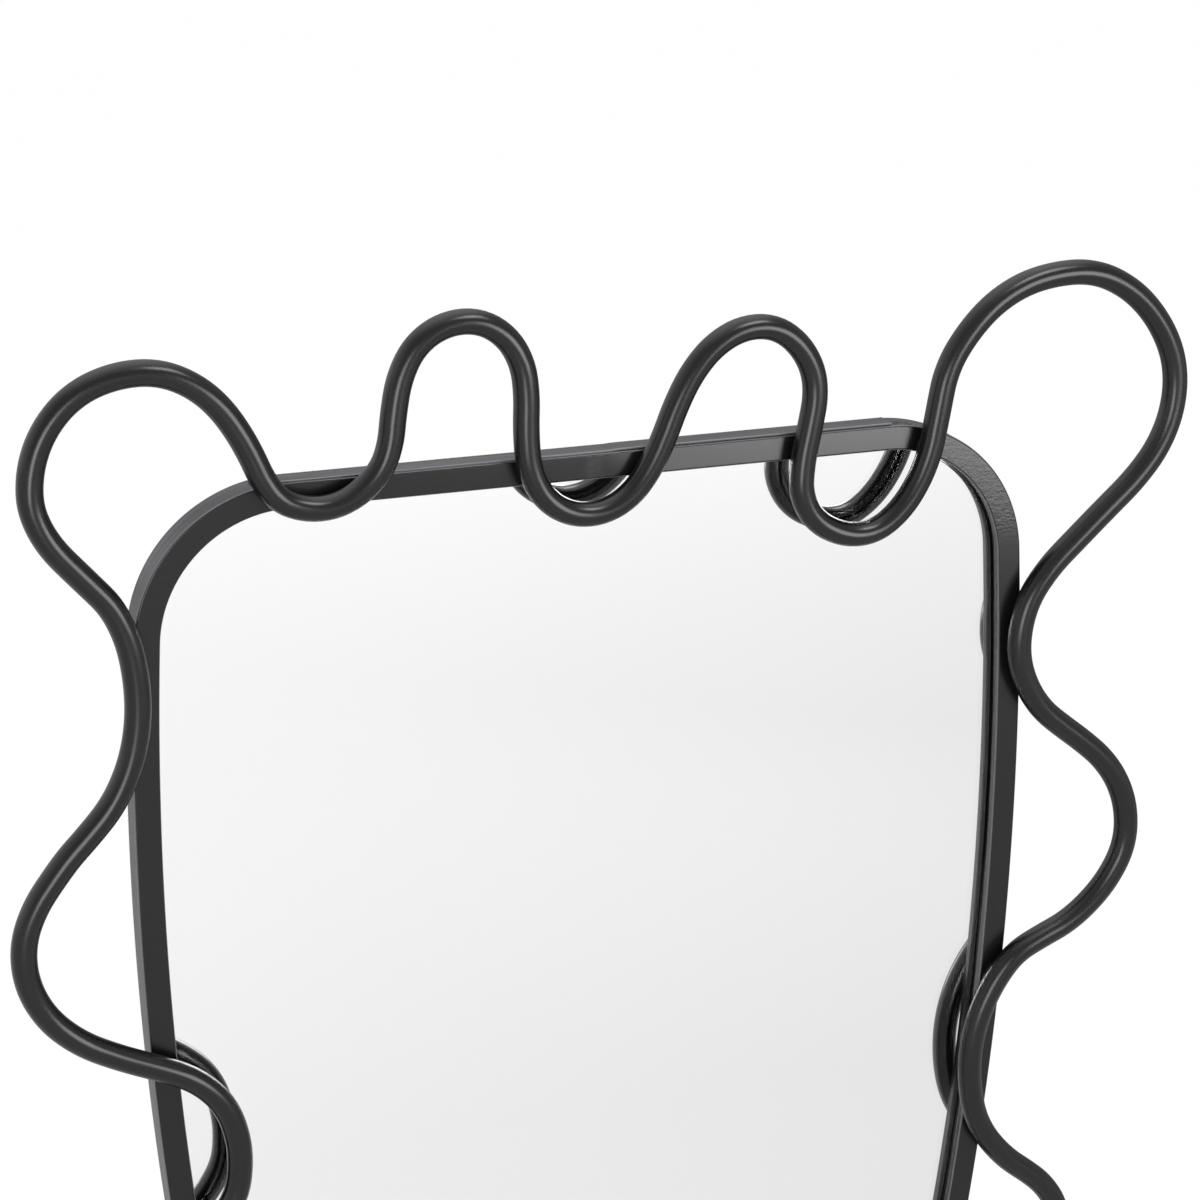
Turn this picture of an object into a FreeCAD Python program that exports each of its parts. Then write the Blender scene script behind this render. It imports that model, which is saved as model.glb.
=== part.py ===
import FreeCAD, Part
import math
import os

# Wall mirror: a rounded, tapering frame of rectangular steel tube with a thick
# glass set back in it, and a round tube that winds over the frame's front.
# Millimetres, +Z up, the glass faces -Y. The origin is the centre of the whole
# mirror's box: the shapes are made about the middle of the top rail's front
# and are shifted as one at the end.

# Frame outline
frame_width = 585.0
frame_height = 830.0
side_radius = 2340.0
widest_drop = 229.0
corner_radius = 95.0

# Frame tube section
bar_face = 16.0
bar_depth = 22.0
bar_wall = 1.5
bar_arris = 1.4

# Butt welds between the two frame halves
seam_offset = -4.0
seam_length = 3.0

# Flat bar on the top rail
strip_left_share = -0.364
strip_right_share = 0.334
strip_thickness = 1.2
strip_setback = 0.3
strip_depth = 16.0
strip_rise = 0.5
joggle_start = 4.0
joggle_length = 12.0
back_bead_leg = 1.5
back_bead_length = 20.0
back_bead_shares = [0.05, 0.28]
lump_radius = 8.0
lump_height = 2.0
lump_fall = 0.25
lump_pitch = 3.4
lump_count = 5
lump_start = 1.0

# Waved tube
tube_radius = 8.0
tube_wall = 1.5
tube_gap = 0.3
bead_half_width = 5.0
bead_half_length = 6.0

# Mirror panel
glass_recess = 8.2
glass_thickness = 5.0
silver_thickness = 0.3
tape_thickness = 1.0
tape_width = 24.0
board_thickness = 4.0
panel_clearance = 1.0

# Tabs inside the frame
tab_width = 22.0
tab_reach = 20.0
tab_thickness = 2.0
tab_weld_leg = 3.0
tab_screw_radius = 1.75
tab_screw_bite = 3.0
tab_clearance = 0.25
tab_head_radius = 3.6
tab_head_height = 2.2

# Strap hangers with D-rings
hanger_share = 0.301
hanger_inset = 10.5
strap_width = 10.0
strap_thickness = 1.2
strap_length = 38.0
strap_round = 3.5
ring_wire_radius = 1.5
ring_inner_width = 12.5
ring_corner_radius = 3.0
ring_play = 0.05
ring_gap = 0.3
hanger_screw_radius = 2.0
hanger_screw_length = 6.0
hanger_head_radius = 3.8
hanger_head_height = 2.6
hanger_first_screw = 21.0
hanger_screw_spacing = 11.0

# Cross recess in every screw head
recess_width = 0.9
recess_span = 3.6
recess_depth = 1.2

# Rubber bumpers
bumper_radius = 6.0
bumper_height = 8.0
bumper_edge = 1.0
bumper_upper_share = 0.145
bumper_lower_share = 0.831

# How far a cutting shape runs past what it cuts
overrun = 5.0

# The waved tube's path, clockwise seen from the front. Each row is a place on
# the tube's axis: across from the frame's middle as a share of its width, up
# from its top edge as a share of its height, and the way the tube heads there
# as a share of a full turn. Each length starts where the one before it ends.
wave_shares = {
    "wave_left_upper": [
        (-0.588, -0.388, 0.372), (-0.622, -0.330, 0.250), (-0.597, -0.280, 0.150),
        (-0.562, -0.250, 0.125), (-0.517, -0.211, 0.172), (-0.494, -0.144, 0.250),
        (-0.512, -0.081, 0.322), (-0.543, -0.052, 0.364),
    ],
    "wave_left_ear": [
        (-0.577, -0.021, 0.331), (-0.590, 0.011, 0.250), (-0.558, 0.068, 0.128),
        (-0.480, 0.090, 0.000), (-0.408, 0.067, -0.128), (-0.377, 0.035, -0.175),
        (-0.352, -0.001, -0.156), (-0.301, -0.018, 0.000), (-0.245, 0.000, 0.128),
        (-0.225, 0.035, 0.233),
    ],
    "wave_top_left": [
        (-0.208, 0.083, 0.172), (-0.149, 0.108, 0.000), (-0.095, 0.085, -0.167),
        (-0.083, 0.039, -0.256), (-0.071, -0.018, -0.172), (-0.015, -0.042, 0.000),
        (0.042, -0.021, 0.147), (0.073, 0.021, 0.192),
    ],
    "wave_top_right": [
        (0.110, 0.067, 0.133), (0.169, 0.087, 0.000), (0.230, 0.056, -0.183),
        (0.235, 0.021, -0.278), (0.223, -0.032, -0.256), (0.251, -0.070, -0.092),
        (0.292, -0.079, 0.000), (0.348, -0.055, 0.150), (0.376, -0.007, 0.222),
    ],
    "wave_right_ear": [
        (0.402, 0.058, 0.158), (0.460, 0.097, 0.078), (0.535, 0.109, 0.000),
        (0.625, 0.080, -0.128), (0.667, 0.013, -0.250), (0.637, -0.046, -0.358),
        (0.572, -0.090, -0.383), (0.509, -0.135, -0.347), (0.489, -0.182, -0.250),
        (0.512, -0.230, -0.153), (0.560, -0.262, -0.106),
    ],
    "wave_right_side": [
        (0.610, -0.296, -0.150), (0.635, -0.349, -0.250), (0.602, -0.402, -0.369),
        (0.548, -0.429, -0.439), (0.490, -0.453, -0.361), (0.448, -0.537, -0.250),
        (0.475, -0.606, -0.153), (0.515, -0.636, -0.106),
    ],
    "wave_right_lower": [
        (0.555, -0.663, -0.150), (0.573, -0.698, -0.250), (0.545, -0.749, -0.361),
        (0.487, -0.779, -0.417), (0.425, -0.807, -0.356), (0.392, -0.856, -0.250),
        (0.420, -0.901, -0.150), (0.468, -0.929, -0.111),
    ],
    "wave_bottom_right": [
        (0.510, -0.960, -0.167), (0.520, -1.008, -0.250), (0.486, -1.071, -0.372),
        (0.400, -1.100, 0.500), (0.316, -1.068, 0.344), (0.287, -1.022, 0.294),
        (0.262, -0.976, 0.350), (0.205, -0.955, 0.500), (0.150, -0.978, 0.656),
        (0.118, -1.026, 0.694),
    ],
    "wave_bottom_left": [
        (0.086, -1.071, 0.644), (0.020, -1.097, 0.500), (-0.045, -1.068, 0.339),
        (-0.070, -1.022, 0.294), (-0.095, -0.980, 0.361), (-0.150, -0.960, 0.500),
        (-0.202, -0.983, 0.656), (-0.230, -1.026, 0.694),
    ],
    "wave_left_lower_ear": [
        (-0.265, -1.075, 0.633), (-0.345, -1.103, 0.500), (-0.450, -1.071, 0.367),
        (-0.492, -1.004, 0.250), (-0.465, -0.952, 0.144), (-0.415, -0.920, 0.122),
        (-0.378, -0.888, 0.178), (-0.370, -0.849, 0.250), (-0.405, -0.800, 0.367),
        (-0.460, -0.774, 0.417),
    ],
    "wave_left_lower": [
        (-0.525, -0.740, 0.356), (-0.555, -0.684, 0.250), (-0.530, -0.631, 0.150),
        (-0.480, -0.596, 0.122), (-0.418, -0.547, 0.172), (-0.408, -0.512, 0.250),
        (-0.440, -0.452, 0.375), (-0.507, -0.424, 0.433),
    ],
}

# Where the tabs sit: shares of the way down each side, and places across the
# top and bottom rails as shares of the frame's width
tab_side_shares = [0.20, 0.52, 0.84]
tab_rail_share = -0.10

# Tape strips across the glass as shares of the frame's width, with the top and
# bottom of each as shares of the frame's height
tape_shares = [
    (-0.30, 0.12, 0.80), (-0.15, 0.06, 0.90), (0.0, 0.06, 0.90),
    (0.15, 0.06, 0.90), (0.30, 0.12, 0.80),
]

strip_left = strip_left_share * frame_width
strip_right = strip_right_share * frame_width
hanger_drop = hanger_share * frame_height
bumper_upper_drop = bumper_upper_share * frame_height
bumper_lower_drop = bumper_lower_share * frame_height
panel_inset = bar_face + panel_clearance
glass_front = glass_recess
silver_front = glass_front + glass_thickness
tape_front = silver_front + silver_thickness
board_front = tape_front + tape_thickness
tab_front = board_front + board_thickness
tube_axis = -tube_radius - tube_gap
ring_axis = bar_depth + strap_thickness + ring_gap + ring_wire_radius
eye_inner = ring_wire_radius + ring_play
eye_outer = eye_inner + strap_thickness


def vec(x, y, z):
    return FreeCAD.Vector(x, y, z)


def box(x0, x1, y0, y1, z0, z1):
    # A box between two limits on each axis
    return Part.makeBox(x1 - x0, y1 - y0, z1 - z0, vec(x0, y0, z0))


def moved(shape, x, y, z):
    copy = shape.copy()
    copy.translate(vec(x, y, z))
    return copy


# Frame outline

def side_edge(drop, inset):
    # Half width of the outline at a drop below the top edge
    radius = side_radius - inset
    centre = frame_width / 2 - side_radius
    below = drop - widest_drop
    return centre + math.sqrt(radius * radius - below * below)


def corner_centre(row_drop, inset, inward):
    # Centre of the corner arc that touches both the rail and the side arc
    radius = corner_radius - inset
    drop = row_drop + inward * (inset + radius)
    reach = side_radius - inset - radius
    below = drop - widest_drop
    across = frame_width / 2 - side_radius + math.sqrt(reach * reach - below * below)
    return across, drop, radius


def arc_between(start, middle, end):
    return Part.Arc(start, middle, end).toShape()


def half_outline(inset, y, centre_x):
    # Right half of the outline, from the top rail round to the bottom rail
    top_x, top_drop, radius = corner_centre(0.0, inset, 1)
    low_x, low_drop, radius = corner_centre(frame_height, inset, -1)
    side_x = frame_width / 2 - side_radius
    top_way = math.atan2(top_drop - widest_drop, top_x - side_x)
    low_way = math.atan2(low_drop - widest_drop, low_x - side_x)

    def on_side(way):
        reach = side_radius - inset
        return vec(side_x + reach * math.cos(way), y, -widest_drop - reach * math.sin(way))

    def on_corner(x, drop, way):
        return vec(x + radius * math.cos(way), y, -drop - radius * math.sin(way))

    up = -math.pi / 2
    down = math.pi / 2
    first = vec(centre_x, y, -inset)
    last = vec(centre_x, y, inset - frame_height)
    top_rail_end = on_corner(top_x, top_drop, up)
    low_rail_end = on_corner(low_x, low_drop, down)
    top_side_end = on_side(top_way)
    low_side_end = on_side(low_way)
    top_middle = on_corner(top_x, top_drop, (up + top_way) / 2)
    low_middle = on_corner(low_x, low_drop, (down + low_way) / 2)
    return [
        Part.makeLine(first, top_rail_end),
        arc_between(top_rail_end, top_middle, top_side_end),
        arc_between(top_side_end, on_side((top_way + low_way) / 2), low_side_end),
        arc_between(low_side_end, low_middle, low_rail_end),
        Part.makeLine(low_rail_end, last),
    ]


def full_face(inset, y):
    # The whole outline as a face, for the glass and the board
    right = half_outline(inset, y, 0.0)
    mirror = [edge.mirror(vec(0, 0, 0), vec(1, 0, 0)) for edge in right]
    wire = Part.Wire(Part.__sortEdges__(right + mirror))
    return Part.Face(wire)


def plate(inset, front, thickness):
    return full_face(inset, front).extrude(vec(0, thickness, 0))


def rounded_section(x, inset, radius):
    # Section of the frame tube in the seam plane, a rectangle with rounded arrises
    near = inset
    far = bar_depth - inset
    top = -inset
    low = inset - bar_face
    diagonal = radius * (1 - math.sqrt(0.5))
    left = vec(x, near, top - radius), vec(x, near, low + radius)
    right = vec(x, far, low + radius), vec(x, far, top - radius)
    under = vec(x, near + radius, low), vec(x, far - radius, low)
    over = vec(x, far - radius, top), vec(x, near + radius, top)
    edges = [
        Part.makeLine(left[0], left[1]),
        arc_between(left[1], vec(x, near + diagonal, low + diagonal), under[0]),
        Part.makeLine(under[0], under[1]),
        arc_between(under[1], vec(x, far - diagonal, low + diagonal), right[0]),
        Part.makeLine(right[0], right[1]),
        arc_between(right[1], vec(x, far - diagonal, top - diagonal), over[0]),
        Part.makeLine(over[0], over[1]),
        arc_between(over[1], vec(x, near + diagonal, top - diagonal), left[0]),
    ]
    return Part.Wire(edges)


def swept(path, section):
    pipe = Part.BRepOffsetAPI.MakePipeShell(path)
    pipe.add(section)
    pipe.build()
    pipe.makeSolid()
    return pipe.shape()


def frame_half(centre_x):
    # Half of the frame tube, hollow, from the top seam round to the bottom seam
    path = Part.Wire(half_outline(0.0, 0.0, centre_x))
    outer = swept(path, rounded_section(centre_x, 0.0, bar_arris))
    inner = swept(path, rounded_section(centre_x, bar_wall, bar_arris / 2))
    return outer.cut(inner)


def frame_right():
    return frame_half(seam_offset + seam_length / 2)


def frame_left():
    half = frame_half(seam_length / 2 - seam_offset)
    return half.mirror(vec(0, 0, 0), vec(1, 0, 0))


def seam_weld(top):
    # A filled butt joint, ground flush with the tube all round
    start = seam_offset - seam_length / 2
    body = box(start, start + seam_length, 0, bar_depth, top - bar_face, top)
    along = [edge for edge in body.Edges if abs(edge.tangentAt(0).x) > 0.9]
    return body.makeFillet(bar_arris, along)


# Flat bar on the top rail

def hugging_strip(rise, left, right):
    # Part of a sheet bent round the outline, between two places across it
    outer = plate(-rise - strip_thickness, strip_setback, strip_depth)
    room = box(left, right, 0, bar_depth, -bar_face, strip_rise + strip_thickness + overrun)
    return outer.cut(plate(-rise, strip_setback, strip_depth)).common(room)


def top_strip():
    # Flat bar on the rail, joggled up past the seam and bent down at its left end
    start = joggle_start
    end = joggle_start + joggle_length
    lower = [vec(start, strip_setback, 0), vec(end, strip_setback, strip_rise)]
    upper = [point + vec(0, 0, strip_thickness) for point in reversed(lower)]
    joggle = Part.Face(Part.makePolygon(lower + upper + [lower[0]])).extrude(vec(0, strip_depth, 0))
    left = hugging_strip(0, strip_left, start)
    return joggle.multiFuse([left, hugging_strip(strip_rise, end, strip_right)]).removeSplitter()


def back_bead(x):
    # Fillet bead behind the strip, on the top rail
    y = strip_setback + strip_depth
    corner = vec(x, y, 0)
    high = vec(x, y, back_bead_leg)
    far = vec(x, y + back_bead_leg, 0)
    face = Part.Face(Part.makePolygon([corner, far, high, corner]))
    return face.extrude(vec(back_bead_length, 0, 0))


def strip_welds_back():
    length = strip_right - strip_left
    return [back_bead(strip_left + share * length) for share in back_bead_shares]


def top_drop(x):
    # How far the outline has dropped below its top at a place across it
    start, drop, radius = corner_centre(0.0, 0.0, 1)
    past = max(0, x - start)
    return drop - math.sqrt(radius * radius - past * past)


def strip_weld_end(strip):
    # Low overlapping blobs of weld that run off the strip's raised end, down the corner
    middle = strip_setback + strip_depth / 2
    blobs = []
    for index in range(lump_count):
        x = strip_right + lump_start + index * lump_pitch
        crest = lump_height - index * lump_fall - top_drop(x)
        blobs.append(Part.makeSphere(lump_radius, vec(x, middle, crest - lump_radius)))
    lump = blobs[0].multiFuse(blobs[1:])
    return lump.cut([plate(0, 0, bar_depth), strip])


# Waved tube

def place(row):
    return vec(row[0] * frame_width, tube_axis, row[1] * frame_height)


def heading(row):
    turn = 2 * math.pi * row[2]
    return vec(math.cos(turn), 0, math.sin(turn))


def arc_from(start, way, end):
    # Arc from a start point and heading to an end point
    along = (end - start).normalize()
    side = vec(-along.z, 0, along.x)
    turn = math.atan2(way.dot(side), way.dot(along))
    sag = (end - start).Length / 2 * math.tan(turn / 2)
    return arc_between(start, (start + end) / 2 + side * sag, end)


def biarc(first, second):
    # Two arcs that join two places smoothly. The control points lie equally far
    # from the two places, and the arcs meet halfway between them.
    start = place(first)
    end = place(second)
    chord = end - start
    both = heading(first) + heading(second)
    square = both.dot(both) - 4
    slope = chord.dot(both)
    root = math.sqrt(slope * slope - square * chord.dot(chord))
    length = (slope - root) / square
    leave = start + heading(first) * length
    arrive = end - heading(second) * length
    middle = (leave + arrive) / 2
    return [arc_from(start, heading(first), middle), arc_from(middle, arrive - leave, end)]


def wave_path(name):
    # The axis of one length, which starts where the length before it ends
    names = list(wave_shares)
    before = wave_shares[names[names.index(name) - 1]]
    rows = [before[-1]] + wave_shares[name]
    edges = []
    for first, second in zip(rows, rows[1:]):
        edges += biarc(first, second)
    return Part.Wire(edges)


def round_pipe(path, radius):
    start = path.Edges[0]
    point = start.valueAt(start.FirstParameter)
    way = start.tangentAt(start.FirstParameter)
    return swept(path, Part.Wire([Part.makeCircle(radius, point, way)]))


def wave_bar(name):
    # The tube as a full bar, for fitting the weld beads to it
    return round_pipe(wave_path(name), tube_radius)


def wave_tube(name):
    return wave_bar(name).cut(round_pipe(wave_path(name), tube_radius - tube_wall))


def bead_spots(path):
    # Where the tube crosses the middle of the bar, or else comes nearest to it
    line = Part.Wire(half_outline(bar_face / 2, tube_axis, 0.0))
    lines = Part.makeCompound([line, line.mirror(vec(0, 0, 0), vec(1, 0, 0))])
    crossings = [vertex.Point for vertex in path.section(lines).Vertexes]
    return crossings or [path.distToShape(lines)[1][0][0]]


def bar_front(depth):
    # The flat of the frame's front face, drawn out forwards
    outer = full_face(bar_arris, -depth).extrude(vec(0, depth, 0))
    return outer.cut(full_face(bar_face - bar_arris, -depth).extrude(vec(0, depth, 0)))


def wave_welds():
    # A short bead under the tube at each of these places, as wide as the tube hides
    lift = tube_gap + tube_radius - math.sqrt(tube_radius ** 2 - bead_half_width ** 2)
    ground = bar_front(lift)
    bars = [wave_bar(name) for name in wave_shares]
    beads = []
    for path in [wave_path(name) for name in wave_shares]:
        for spot in bead_spots(path):
            edge = min(path.Edges, key=lambda each: each.distToShape(Part.Vertex(spot))[0])
            way = edge.tangentAt(edge.Curve.parameter(spot))
            turn = math.degrees(math.atan2(way.z, way.x))
            bead = box(-bead_half_length, bead_half_length, -lift, 0, -bead_half_width, bead_half_width)
            bead.rotate(vec(0, 0, 0), vec(0, -1, 0), turn)
            bead.translate(vec(spot.x, 0, spot.z))
            near = [bar for bar in bars if bar.BoundBox.intersect(bead.BoundBox)]
            beads += bead.common(ground).cut(near).Solids
    return beads


# Mirror panel

def tape_strip(share, top, bottom):
    # Upright strip of tape between the glass and the board
    middle = share * frame_width
    left = middle - tape_width / 2
    right = middle + tape_width / 2
    low = -bottom * frame_height
    high = -top * frame_height
    return box(left, right, tape_front, tape_front + tape_thickness, low, high)


# Tabs

def tab_places():
    # Middle of each tab's outer end and the way it points, towards the glass
    places = []
    for side in (-1, 1):
        for share in tab_side_shares:
            drop = share * frame_height
            edge = side_edge(drop, bar_face)
            places.append((side * edge, -drop, -side, 0))
    rail = tab_rail_share * frame_width
    places.append((rail, -bar_face, 0, -1))
    places.append((rail, bar_face - frame_height, 0, 1))
    return places


def on_tab(shape, spot):
    # Turn a shape made pointing along +X and put it at its tab's place
    x, z, way_x, way_z = spot
    turned = shape.copy()
    turned.rotate(vec(0, 0, 0), vec(0, -1, 0), math.degrees(math.atan2(way_z, way_x)))
    turned.translate(vec(x, 0, z))
    return turned


def board_tab(spot, space):
    half = tab_width / 2
    blank = box(-overrun, tab_reach, tab_front, tab_front + tab_thickness, -half, half)
    hole = Part.makeCylinder(
        tab_screw_radius + tab_clearance, tab_thickness, vec(tab_reach / 2, tab_front, 0), vec(0, 1, 0))
    return on_tab(blank.cut(hole), spot).common(space)


def tab_weld(spot, space, end):
    # Fillet bead in the corner between a tab's end and the frame
    half = tab_width / 2
    inner = vec(tab_weld_leg, tab_front, end * half)
    tip = vec(0, tab_front, end * (half + tab_weld_leg))
    back = vec(-overrun, tab_front, end * (half + tab_weld_leg))
    root = vec(-overrun, tab_front, end * half)
    face = Part.Face(Part.makePolygon([inner, tip, back, root, inner]))
    return on_tab(face.extrude(vec(0, tab_thickness, 0)), spot).common(space)


# Screws

def screw(head_radius, head_height, radius, length):
    # Pan head screw pointing along -Y, with its head seated at the origin
    head = Part.makeCylinder(head_radius, head_height, vec(0, 0, 0), vec(0, 1, 0))
    rim = [edge for edge in head.Edges if abs(edge.BoundBox.YMin - head_height) < head_height / 4]
    head = head.makeFillet(head_height / 3, [edge for edge in rim if len(edge.Vertexes) == 1])
    for across, along in ((recess_width, recess_span), (recess_span, recess_width)):
        slot = box(
            -across / 2, across / 2, head_height - recess_depth, head_height + overrun, -along / 2, along / 2)
        head = head.cut(slot)
    shank = Part.makeCylinder(radius, length, vec(0, -length, 0), vec(0, 1, 0))
    return head.fuse(shank)


def tab_screw_spots():
    spots = []
    for x, z, way_x, way_z in tab_places():
        spots.append((x + way_x * tab_reach / 2, z + way_z * tab_reach / 2))
    return spots


def tab_screws():
    one = screw(tab_head_radius, tab_head_height, tab_screw_radius, tab_thickness + tab_screw_bite)
    return [moved(one, x, tab_front + tab_thickness, z) for x, z in tab_screw_spots()]


def hanger_screw_spots():
    across = side_edge(hanger_drop, hanger_inset)
    first = -hanger_drop - hanger_first_screw
    return [(side * across, first - row * hanger_screw_spacing) for side in (-1, 1) for row in (0, 1)]


def hanger_screws():
    one = screw(hanger_head_radius, hanger_head_height, hanger_screw_radius, hanger_screw_length)
    return [moved(one, x, bar_depth + strap_thickness, z) for x, z in hanger_screw_spots()]


def pegs(spots, radius, back, length):
    # Round pegs that end at a back plane, for cutting screw holes
    return [Part.makeCylinder(radius, length, vec(x, back - length, z), vec(0, 1, 0)) for x, z in spots]


# Hangers

def hanger_strap():
    # Strap with the eye rolled at its top, about the eye's axis
    half = strap_width / 2
    plate = box(-half, half, bar_depth, bar_depth + strap_thickness, -strap_length, 0)
    foot = [edge for edge in plate.Edges if abs(edge.tangentAt(0).y) > 0.9 and edge.BoundBox.ZMax < 0]
    plate = plate.makeFillet(strap_round, [edge for edge in foot if edge.BoundBox.ZMax < -strap_round])
    eye = Part.makeCylinder(eye_outer, strap_width, vec(-half, ring_axis, 0), vec(1, 0, 0))
    bore = Part.makeCylinder(eye_inner, strap_width, vec(-half, ring_axis, 0), vec(1, 0, 0))
    return plate.fuse(eye).cut(bore)


def hanger_ring():
    # D-ring hanging from the eye's axis, made as two mirrored halves
    half = ring_inner_width / 2 + ring_wire_radius
    corner = ring_corner_radius
    low = -corner - half
    straight = half - corner
    diagonal = math.sqrt(0.5)
    y = ring_axis
    corner_middle = vec(straight + corner * diagonal, y, corner * diagonal - corner)
    bow_middle = vec(half * diagonal, y, -corner - half * diagonal)
    path = Part.Wire([
        Part.makeLine(vec(0, y, 0), vec(straight, y, 0)),
        arc_between(vec(straight, y, 0), corner_middle, vec(half, y, -corner)),
        arc_between(vec(half, y, -corner), bow_middle, vec(0, y, low)),
    ])
    right = round_pipe(path, ring_wire_radius)
    return right.fuse(right.mirror(vec(0, 0, 0), vec(1, 0, 0)))


def at_hanger(shape, side):
    return moved(shape, side * side_edge(hanger_drop, hanger_inset), 0, -hanger_drop)


def bumper(side, drop):
    # Rubber foot on the back of the frame, rounded at its outer rim
    x = side * side_edge(drop, bar_face / 2)
    foot = Part.makeCylinder(bumper_radius, bumper_height, vec(x, bar_depth, -drop), vec(0, 1, 0))
    rim = [edge for edge in foot.Edges if edge.BoundBox.YMin > bar_depth + bumper_height / 2]
    return foot.makeFillet(bumper_edge, [edge for edge in rim if len(edge.Vertexes) == 1])


def group(solids):
    return Part.makeCompound(solids)


def frame_nodes():
    holes = pegs(hanger_screw_spots(), hanger_screw_radius, bar_depth + overrun, hanger_screw_length + overrun)
    strip = top_strip()
    return {
        "frame_left": frame_left().cut(holes),
        "frame_right": frame_right().cut(holes),
        "seam_weld_top": seam_weld(0),
        "seam_weld_bottom": seam_weld(bar_face - frame_height),
        "top_strip": strip,
        "strip_weld_end": strip_weld_end(strip),
        "strip_welds_back": group(strip_welds_back()),
    }


def wave_nodes():
    nodes = {name: wave_tube(name) for name in wave_shares}
    nodes["wave_welds"] = group(wave_welds())
    return nodes


def panel_nodes():
    board = plate(panel_inset, board_front, board_thickness)
    holes = pegs(tab_screw_spots(), tab_screw_radius, tab_front, tab_screw_bite)
    return {
        "mirror_glass": plate(panel_inset, glass_front, glass_thickness),
        "silvered_back": plate(panel_inset, silver_front, silver_thickness),
        "mounting_tape": group([tape_strip(*row) for row in tape_shares]),
        "backing_board": board.cut(holes),
    }


def tab_nodes():
    space = plate(bar_face, tab_front, tab_thickness)
    spots = tab_places()
    nodes = {f"board_tab_{index + 1}": board_tab(spot, space) for index, spot in enumerate(spots)}
    nodes["tab_welds"] = group([tab_weld(spot, space, end) for spot in spots for end in (-1, 1)])
    nodes["tab_screws"] = group(tab_screws())
    return nodes


def back_nodes():
    nodes = {"hanger_screws": group(hanger_screws())}
    holes = pegs(hanger_screw_spots(), hanger_screw_radius, bar_depth + overrun, hanger_screw_length)
    for side, name in ((-1, "left"), (1, "right")):
        nodes[f"hanger_strap_{name}"] = at_hanger(hanger_strap(), side).cut(holes)
        nodes[f"hanger_ring_{name}"] = at_hanger(hanger_ring(), side)
        nodes[f"bumper_upper_{name}"] = bumper(side, bumper_upper_drop)
        nodes[f"bumper_lower_{name}"] = bumper(side, bumper_lower_drop)
    return nodes


def all_nodes():
    # Every node, shifted so that the origin is the centre of the whole mirror's box
    nodes = {**frame_nodes(), **wave_nodes(), **panel_nodes(), **tab_nodes(), **back_nodes()}
    middle = Part.makeCompound(list(nodes.values())).optimalBoundingBox(False, False).Center
    return {name: moved(shape, -middle.x, -middle.y, -middle.z) for name, shape in nodes.items()}


os.makedirs("parts", exist_ok=True)
for name, shape in all_nodes().items():
    shape.exportStep(f"parts/{name}.step")
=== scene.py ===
# %% [markdown]
# # A wall mirror with a waved tube border
#
# The object is a wall mirror. Its frame is a rectangular steel tube bent flat into a
# rounded outline that tapers downwards. A thick glass sits back in it, and a round
# steel tube winds over the frame's front all the way round. All the steel wears one
# coat of near-black satin powder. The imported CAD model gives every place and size,
# and this lesson dresses it for a picture.

# %% Load the frame
import math
import bmesh
import bpy
from mathutils import Matrix, Vector


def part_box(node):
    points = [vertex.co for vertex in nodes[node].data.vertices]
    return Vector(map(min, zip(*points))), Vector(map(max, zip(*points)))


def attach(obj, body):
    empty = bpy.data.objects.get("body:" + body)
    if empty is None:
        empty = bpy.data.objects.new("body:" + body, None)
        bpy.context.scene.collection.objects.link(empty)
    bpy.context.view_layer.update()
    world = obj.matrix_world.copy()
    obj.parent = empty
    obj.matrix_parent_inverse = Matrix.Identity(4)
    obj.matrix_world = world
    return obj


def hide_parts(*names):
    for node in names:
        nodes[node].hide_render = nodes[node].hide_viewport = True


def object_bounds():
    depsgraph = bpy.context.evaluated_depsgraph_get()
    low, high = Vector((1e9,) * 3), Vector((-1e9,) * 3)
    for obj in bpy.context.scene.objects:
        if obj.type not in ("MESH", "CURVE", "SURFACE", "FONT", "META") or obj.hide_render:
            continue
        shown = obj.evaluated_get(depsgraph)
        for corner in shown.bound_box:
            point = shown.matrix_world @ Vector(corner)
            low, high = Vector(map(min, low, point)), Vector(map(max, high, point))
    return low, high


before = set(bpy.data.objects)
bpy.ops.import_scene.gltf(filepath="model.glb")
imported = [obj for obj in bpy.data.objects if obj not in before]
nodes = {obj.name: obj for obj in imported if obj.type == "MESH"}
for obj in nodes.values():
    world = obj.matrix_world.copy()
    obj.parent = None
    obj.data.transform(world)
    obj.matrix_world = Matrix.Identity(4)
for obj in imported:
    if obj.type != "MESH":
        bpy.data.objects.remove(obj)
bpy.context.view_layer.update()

# %% [markdown]
# ## Sizes
#
# A maker's drawing of this mirror starts at the middle of the top rail's front edge.
# Here that point is read from the CAD boxes, and all sizes below are in metres.

# %% The drawing's sizes
MM = 0.001
frame_width = 585 * MM
frame_height = 830 * MM
side_radius = 2340 * MM
widest_drop = 229 * MM
corner_radius = 95 * MM
bar_face = 16 * MM
bar_depth = 22 * MM
bar_arris = 1.4 * MM
tube_radius = 8 * MM
glass_recess = 8.2 * MM
glass_thickness = 5 * MM
panel_gap = 1 * MM

left_low, left_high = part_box("frame_left")
right_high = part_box("frame_right")[1]
drawing_origin = Vector(((left_low.x + right_high.x) / 2, left_low.y, left_high.z))
tube_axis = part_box("wave_left_ear")[0].y + tube_radius - drawing_origin.y
print("drawing origin:", tuple(drawing_origin), "tube axis:", tube_axis)

# %% [markdown]
# ## Small helpers
#
# Each piece is made in a bmesh about the drawing's origin, moved once to the CAD
# frame, and then rides on the CAD body that carries it. The object itself stays
# unturned and unscaled at the origin, as the CAD nodes do.

# %% Turn a bmesh into a piece
faces_front = 0.9


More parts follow.
